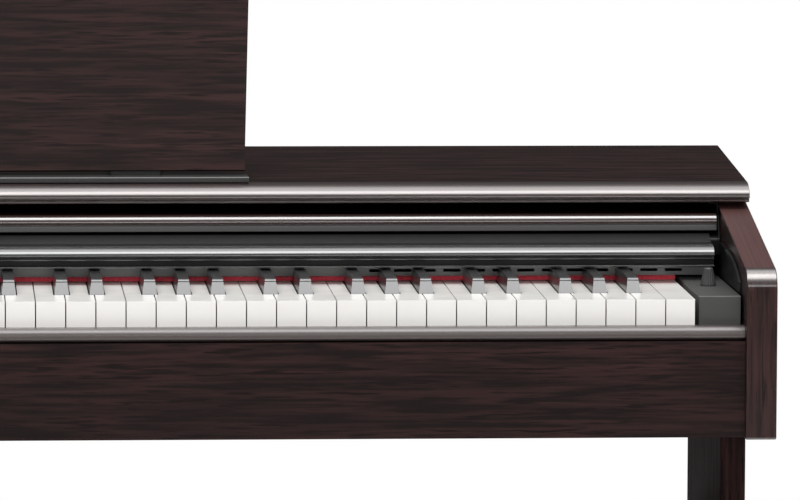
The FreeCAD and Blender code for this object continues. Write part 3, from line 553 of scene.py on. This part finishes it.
board_grey = moulded("nameboard_grey", (0.024, 0.0245, 0.025), 0.22, spread=0.08, bump=0.05,
                     gloss=1.0, coat=0.7)
# Hollow face: its darker colour is painted shade, standing in for the dark the hollow reflects.
satin_with_painted_shade = moulded("nameboard_hollow_painted_shade", (0.009, 0.0092, 0.0092), 0.36, spread=0.08, bump=0.05,
                      gloss=0.5)
# Groove: its black colour is painted shade in the recess under the flat edge.
painted_groove_shade = moulded("nameboard_groove_painted_shade", (0.008, 0.008, 0.008), 0.5, spread=0.1, bump=0.1)
mesh = prism_mesh("nameboard_extrusion", nameboard_outline(), "x", board_low.x, board_high.x)
groove_top = KEY_TOP + 19.7 * MM
groove_floor = KEY_TOP + 14.9 * MM
groove_back = KEY_FRONT + 128 * MM
nose_top = KEY_TOP + 31.2 * MM
new_piece("nameboard_extrusion", mesh, [board_grey, painted_groove_shade, satin_with_painted_shade], CABINET,
          ["nameboard"], edge=0.0, corner=40)
# The groove's faces get the black painted shade.
mark_faces(mesh, lambda centre, normal: groove_floor < centre.z < groove_top
           and centre.y < groove_back, 1)
# The faces above the nose get the darker painted shade.
mark_faces(mesh, lambda centre, normal: centre.z > nose_top and normal.y < 0, 2)


# ---------------------------------------------------------------------------
# Slotted strip and its felt. A satin grey strip with oval sound slots, its grey lightened by a
# painted reflection of the white keys, and a red felt glued along its lower edge that quiets the
# keys as they come up.
strip_grey_with_reflection = moulded("strip_satin_grey_painted_reflection", (0.150, 0.153, 0.150), 0.22, spread=0.1, bump=0.05, coat=0.5)
# Mid grey: the strip's own grey plus a painted reflection of the white keys.
keep("slotted_strip", strip_grey_with_reflection)


def felt_material():
    """Wool felt: fibres in two shades that stand up and scatter light at the edges."""
    material = bpy.data.materials.new("red_felt")
    material.use_nodes = True
    nodes, links = material.node_tree.nodes, material.node_tree.links
    shader = nodes["Principled BSDF"]
    place = nodes.new("ShaderNodeTexCoord")
    fibres = nodes.new("ShaderNodeTexNoise")
    fibres.inputs["Scale"].default_value = 900.0
    fibres.inputs["Detail"].default_value = 6.0
    fibres.inputs["Distortion"].default_value = 1.5
    links.new(place.outputs["Object"], fibres.inputs["Vector"])
    shade = nodes.new("ShaderNodeValToRGB")
    shade.color_ramp.elements[0].position = 0.3
    shade.color_ramp.elements[0].color = (0.34, 0.012, 0.026, 1)
    shade.color_ramp.elements[1].position = 0.72
    shade.color_ramp.elements[1].color = (0.90, 0.09, 0.13, 1)
    links.new(fibres.outputs["Fac"], shade.inputs["Fac"])
    links.new(shade.outputs["Color"], shader.inputs["Base Color"])
    relief = nodes.new("ShaderNodeBump")
    relief.inputs["Strength"].default_value = 0.8
    relief.inputs["Distance"].default_value = 0.2 * MM
    links.new(fibres.outputs["Fac"], relief.inputs["Height"])
    links.new(relief.outputs["Normal"], shader.inputs["Normal"])
    shader.inputs["Roughness"].default_value = 0.95
    shader.inputs["Sheen Weight"].default_value = 0.6
    shader.inputs["Sheen Roughness"].default_value = 0.5
    return material


felt_low, felt_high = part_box("nameboard_felt")
felt_steps = 620
random.seed(7)
felt_profile = rounded([
    (felt_low.y, felt_low.z, 1.0 * MM), (felt_high.y, felt_low.z, 0.3 * MM),
    (felt_high.y, felt_high.z, 0.3 * MM), (felt_low.y, felt_high.z, 1.2 * MM),
], steps=4)
cuts = [felt_low.x + (felt_high.x - felt_low.x) * i / felt_steps for i in range(1, felt_steps)]
mesh = prism_mesh("felt_band", felt_profile, "x", felt_low.x, felt_high.x, cuts)
middle_y = (felt_low.y + felt_high.y) / 2
middle_z = (felt_low.z + felt_high.z) / 2
for vertex in mesh.vertices:
    nap = random.uniform(0.0, 0.22 * MM)
    vertex.co.y += nap if vertex.co.y < middle_y else -nap
    vertex.co.z += nap * 0.5 if vertex.co.z < middle_z else -nap * 0.5
new_piece("felt_band", mesh, felt_material(), CABINET, ["nameboard_felt"], edge=0.0,
          corner=180)


# ---------------------------------------------------------------------------
# End blocks. Moulded dark grey caps beside the keys, fine grained, with rounded edges. The volume
# knob stands on the right one and the power button on the left one.
block_grey = moulded("end_block_grey", (0.058, 0.058, 0.056), 0.40, spread=0.12, grain=1400.0,
                     bump=0.25, depth=0.05 * MM)
for side in ("left", "right"):
    keep("end_block_" + side, block_grey, edge=0.7 * MM, corner=40)
button_grey = moulded("button_grey", (0.05, 0.05, 0.05), 0.42, bump=0.15)
keep("power_button", button_grey, edge=0.5 * MM, corner=40)

knob_low, knob_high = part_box("volume_knob")


def knob_mesh():
    """Tapered knob: ribbed skirt, smooth rounded crown with a shallow dish, and its stem."""
    centre_x = (knob_low.x + knob_high.x) / 2
    centre_y = (knob_low.y + knob_high.y) / 2
    crown = knob_high.z
    foot = crown - 14 * MM
    rings = [(2.9, knob_low.z), (2.9, foot - 0.2 * MM), (6.2, foot), (6.45, foot + 0.5 * MM),
             (6.1, foot + 2 * MM), (4.2, crown - 2.6 * MM), (3.75, crown - 0.9 * MM),
             (3.5, crown - 0.25 * MM), (3.1, crown), (2.6, crown - 0.1 * MM), (1.4, crown - 0.35 * MM)]
    around = 144
    ribs = 18
    points = []
    for radius, z in rings:
        ribbed = foot + 1 * MM < z < crown - 2 * MM
        for i in range(around):
            angle = 2 * math.pi * i / around
            wave = 0.5 - 0.5 * math.cos(angle * ribs)
            reach = radius - (0.55 * wave ** 2 if ribbed else 0.0)
            points.append((centre_x + reach * MM * math.cos(angle),
                           centre_y + reach * MM * math.sin(angle), z))
    faces = [list(range(around))[::-1], [(len(rings) - 1) * around + i for i in range(around)]]
    for ring in range(len(rings) - 1):
        for i in range(around):
            j = (i + 1) % around
            low = ring * around
            faces.append([low + i, low + j, low + around + j, low + around + i])
    mesh = bpy.data.meshes.new("volume_knob_cap")
    mesh.from_pydata(points, [], faces)
    return mesh


knob_grey = moulded("knob_grey", (0.045, 0.046, 0.046), 0.33, bump=0.1, coat=0.2)
new_piece("volume_knob_cap", knob_mesh(), knob_grey, "volume_knob", ["volume_knob"],
          edge=0.0, corner=50)


# ---------------------------------------------------------------------------
# Natural keys. White moulded plastic with a soft gloss; the front top edge is rounded and each key
# stands a hair apart from the next.
def key_plastic(name, colour, second, roughness, coat, gloss=0.5):
    """Key plastic: a very fine grain in two close shades."""
    return moulded(name, colour, roughness, spread=0.12, grain=1600.0, marks=30.0, bump=0.06,
                   depth=0.02 * MM, coat=coat, second=second, gloss=gloss)


white_key = key_plastic("white_key_plastic", (0.82, 0.805, 0.775), (0.85, 0.835, 0.805), 0.24,
                        coat=0.2)
key_nodes = [name for name in frame["bodies"] if name.startswith(("key_", "naturals_", "sharps_"))
              and name != "key_cover"]
for node in key_nodes:
    if "sharp" not in node:
        keep(node, white_key, edge=0.9 * MM, corner=40, segments=4)


# ---------------------------------------------------------------------------
# Sharps. Solid black plastic with a fine matt grain; the front slopes back, the sides lean in and
# all the upper edges are rounded over.
black_key = key_plastic("black_key_plastic", (0.017, 0.017, 0.018), (0.022, 0.022, 0.023), 0.36,
                        coat=0.52, gloss=0.9)
for node in key_nodes:
    if "sharp" in node:
        keep(node, black_key, edge=2.2 * MM, corner=25, segments=4)


# ---------------------------------------------------------------------------
# Cover tracks. Black moulded plates screwed to the arms: a channel for the cover's roller, a cheek
# with a raised rim along its curve, and a post that closes the nameboard's end.
def arc_through(first, middle, last, steps=24):
    """Points along the circle through three points."""
    first, middle, last = (Vector(point[:2]) for point in (first, middle, last))
    to_middle, to_last = middle - first, last - first
    turned = Vector((to_last.y * to_middle.length_squared - to_middle.y * to_last.length_squared,
                     to_middle.x * to_last.length_squared - to_last.x * to_middle.length_squared))
    centre = first + turned / (2 * (to_middle.x * to_last.y - to_middle.y * to_last.x))
    start = first - centre
    sweep = start.angle_signed(last - centre)
    return [centre + Matrix.Rotation(-sweep * step / steps, 2) @ start for step in range(steps + 1)]


CHANNEL_WALL = 1.6 * MM
CHANNEL_LIPS = 646.2 * MM
CHANNEL_FRONT = -8 * MM
ROLLER_ROOM = 0.3 * MM
CHEEK_THICKNESS = 1.5 * MM
RIM_FACE = 651.5 * MM
RIM_WIDTH = 2.4 * MM
POST_FACE = 653 * MM


def cover_track_parts(side, outer):
    """Prisms of one track: channel and end stop along y, cheek, rim and post across x."""
    shaft_low, shaft_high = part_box("key_cover_shaft")
    low = shaft_low.z - ROLLER_ROOM - CHANNEL_WALL
    high = shaft_high.z + ROLLER_ROOM + CHANNEL_WALL
    back = (shaft_low.y + shaft_high.y) / 2 + 10 * MM
    lips, web = side * CHANNEL_LIPS, outer - side * CHANNEL_WALL
    floor, roof = low + CHANNEL_WALL, high - CHANNEL_WALL
    channel = [(outer, low), (lips, low), (lips, floor), (web, floor),
               (web, roof), (lips, roof), (lips, high), (outer, high)]
    stop = [(lips, low), (web, low), (web, high), (lips, high)]
    brow = arc_through(above_keys(11, 12), above_keys(48, 24.6), above_keys(106, 29.5))
    cheek_foot = Vector(above_keys(70, 3.4)[:2])
    inner_brow = [point + (cheek_foot - point).normalized() * RIM_WIDTH for point in brow]
    cheek = [Vector(above_keys(*corner)[:2]) for corner in ((190, 52), (190, 3.4), (13, 3.4))]
    cheek += brow + [Vector(above_keys(*corner)[:2]) for corner in ((160, 30.5), (172, 52))]
    post = rounded([above_keys(152, 20.4), above_keys(173, 20.4), above_keys(173, 36.4),
                    above_keys(152, 34.0, 3.0)], steps=6)
    return [(channel, "y", CHANNEL_FRONT, back), (stop, "y", back - 2 * MM, back),
            (cheek, "x", outer - side * CHEEK_THICKNESS, outer),
            (brow + inner_brow[::-1], "x", side * RIM_FACE, outer),
            (post, "x", side * board_high.x, side * POST_FACE)]


def joined_mesh(name, parts):
    """One mesh from several prisms."""
    whole = bmesh.new()
    for outline, axis, start, end in parts:
        part = prism_mesh(name, outline, axis, start, end)
        whole.from_mesh(part)
        bpy.data.meshes.remove(part)
    mesh = bpy.data.meshes.new(name)
    whole.to_mesh(mesh)
    whole.free()
    return mesh


track_black = moulded("track_black", (0.005, 0.005, 0.005), 0.42, grain=1200.0, bump=0.2, gloss=0.3)
for side, sign in (("left", -1), ("right", 1)):
    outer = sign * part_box("cover_track_right")[1].x
    mesh = joined_mesh("track_%s_moulding" % side, cover_track_parts(sign, outer))
    new_piece("track_%s_moulding" % side, mesh, track_black, CABINET,
              ["cover_track_" + side], edge=0.35 * MM, corner=40)


# ---------------------------------------------------------------------------
# Key chassis and the other black mouldings. Glass-filled black plastic, satin, with the mould's
# fine texture.
black_moulding = moulded("black_moulding", (0.014, 0.014, 0.014), 0.48, grain=1200.0, bump=0.3,
                         depth=0.05 * MM)
for node in ("key_chassis", "socket_panel", "headphone_box", "pedal_adjuster"):
    keep(node, black_moulding, edge=0.4 * MM, corner=40)


# ---------------------------------------------------------------------------
# Music desk. A foil-faced board between a moulded shelf and its hinges, raised to lean back; it
# folds down behind onto the lid.
foil_desk = foil("rosewood_foil_desk", "x", roughness=0.45)
keep("music_desk_panel", (foil_desk, foil_edge), edge=1.2 * MM)
ledge_grey = moulded("ledge_grey", (0.030, 0.030, 0.029), 0.36, bump=0.12, coat=0.2)
keep("music_desk_ledge", ledge_grey, edge=0.5 * MM)


# ---------------------------------------------------------------------------
# Metal parts. The hinges, the assembly screws and the speakers are painted black; the rod that the
# keys turn on and the shaft behind the cover are plated steel.
black_metal = moulded("black_painted_metal", (0.016, 0.016, 0.016), 0.38, grain=1500.0, bump=0.2)
plated = moulded("plated_steel", (0.55, 0.55, 0.56), 0.28, spread=0.1, grain=700.0, bump=0.08,
                 metal=1.0)
for node in ("music_desk_hinges", "assembly_screws", "speaker_left", "speaker_right"):
    keep(node, black_metal, edge=0.3 * MM, corner=40)
for node in ("key_pivot_rod", "key_cover_shaft"):
    keep(node, plated)


# ---------------------------------------------------------------------------
# Pedals. Polished brass levers with rounded edges, which turn inside the pedal rail and stand out
# through its front.
brass = moulded("polished_brass", (0.80, 0.58, 0.25), 0.22, spread=0.12, grain=400.0, bump=0.04,
                metal=1.0)
for side in ("left", "middle", "right"):
    keep("pedal_" + side, brass, edge=1.2 * MM, corner=40)


# ---------------------------------------------------------------------------
# Circuit boards and glides. The boards are screwed down inside the cabinet under a green solder
# mask, and the glides are rubber pads under the feet.
solder_mask = moulded("green_board", (0.012, 0.09, 0.035), 0.35, bump=0.1, coat=0.3)
keep("circuit_boards", solder_mask)
glide_rubber = moulded("glide_rubber", (0.02, 0.02, 0.02), 0.75, grain=700.0, bump=0.4)
keep("foot_glides", glide_rubber, edge=0.5 * MM)


# ---------------------------------------------------------------------------
# Studio: a pale floor, a bright ceiling over a dim room, a long softbox above the keys, a narrow
# strip in front, two fills that light the piano but do not show in its gloss, and the camera.
def area_light(name, place, aim, width, height, power):
    data = bpy.data.lights.new(name, "AREA")
    data.shape = "RECTANGLE"
    data.size, data.size_y = width, height
    data.energy = power
    light = bpy.data.objects.new(name, data)
    bpy.context.scene.collection.objects.link(light)
    light.location = place
    light.rotation_euler = (Vector(aim) - Vector(place)).to_track_quat("-Z", "Y").to_euler()
    light.visible_camera = False
    return light


area_light("overhead_softbox", (0, -0.75, 3.3), (0, -0.1, 0.75), 5.0, 1.3, 66)
area_light("front_strip", (0.2, -3.9, 2.35), (0, 0.0, 0.75), 4.4, 0.5, 16)
for name, place, height, power in (("front_fill", (-0.4, -4.6, 3.4), 2.4, 68),
                                   ("low_fill", (-0.2, -5.4, 1.25), 0.6, 90)):
    fill = area_light(name, place, (0, 0.0, 0.75), 4.4, height, power)
    fill.visible_glossy = False

floor_mesh = bpy.data.meshes.new("studio_floor")
FLOOR_REACH = 2.6
floor_corners = [(x * FLOOR_REACH, y * FLOOR_REACH, 0)
                 for x, y in ((-1, -1), (1, -1), (1, 1), (-1, 1))]
floor_mesh.from_pydata(floor_corners, [], [(0, 1, 2, 3)])
floor = bpy.data.objects.new("studio_floor", floor_mesh)
bpy.context.scene.collection.objects.link(floor)
floor_paint = moulded("studio_floor_paint", (0.80, 0.80, 0.80), 0.7, grain=60.0, bump=0.02)
floor_mesh.materials.append(floor_paint)

world = bpy.data.worlds.new("studio")
bpy.context.scene.world = world
world.use_nodes = True
nodes, links = world.node_tree.nodes, world.node_tree.links
background = nodes["Background"]
rays = nodes.new("ShaderNodeLightPath")
direction = nodes.new("ShaderNodeTexCoord")
split = nodes.new("ShaderNodeSeparateXYZ")
links.new(direction.outputs["Generated"], split.inputs[0])
sky = nodes.new("ShaderNodeValToRGB")
stops = sky.color_ramp.elements
CEILING_LIGHT = 2.4
stops[0].position, stops[0].color = 0.0, (0.02, 0.02, 0.02, 1)
stops[1].position, stops[1].color = 1.0, (1.0, 1.0, 1.0, 1)
for at, level in ((0.26, 0.02), (0.42, 0.035), (0.62, 0.05), (0.78, 0.13), (0.90, 0.80)):
    stop = sky.color_ramp.elements.new(at)
    stop.color = (level, level, level, 1)
links.new(split.outputs["Z"], sky.inputs["Fac"])
seen = nodes.new("ShaderNodeMix")
seen.data_type = "RGBA"
seen.inputs["B"].default_value = (1 / CEILING_LIGHT,) * 3 + (1,)
background.inputs["Strength"].default_value = CEILING_LIGHT
links.new(rays.outputs["Is Camera Ray"], seen.inputs["Factor"])
links.new(sky.outputs["Color"], seen.inputs["A"])
links.new(seen.outputs["Result"], background.inputs["Color"])

CAMERA_PLACE = Vector((0.01063, -5.50940, 1.28126))
PAN, TILT, ROLL = math.radians(3.985), math.radians(5.529), math.radians(0.205)
lens = bpy.data.cameras.new("camera")
lens.lens, lens.sensor_width = 306.35, 36.0
lens.clip_end = 100
camera = bpy.data.objects.new("camera", lens)
bpy.context.scene.collection.objects.link(camera)
ahead = Vector((math.sin(PAN) * math.cos(TILT), math.cos(PAN) * math.cos(TILT), -math.sin(TILT)))
level = Vector((math.cos(PAN), -math.sin(PAN), 0))
upright = level.cross(ahead)
right = level * math.cos(ROLL) + upright * math.sin(ROLL)
up = upright * math.cos(ROLL) - level * math.sin(ROLL)
turn = Matrix((right, up, -ahead)).transposed()
camera.matrix_world = Matrix.Translation(CAMERA_PLACE) @ turn.to_4x4()
bpy.context.scene.camera = camera
bpy.context.scene.view_settings.view_transform = "Standard"
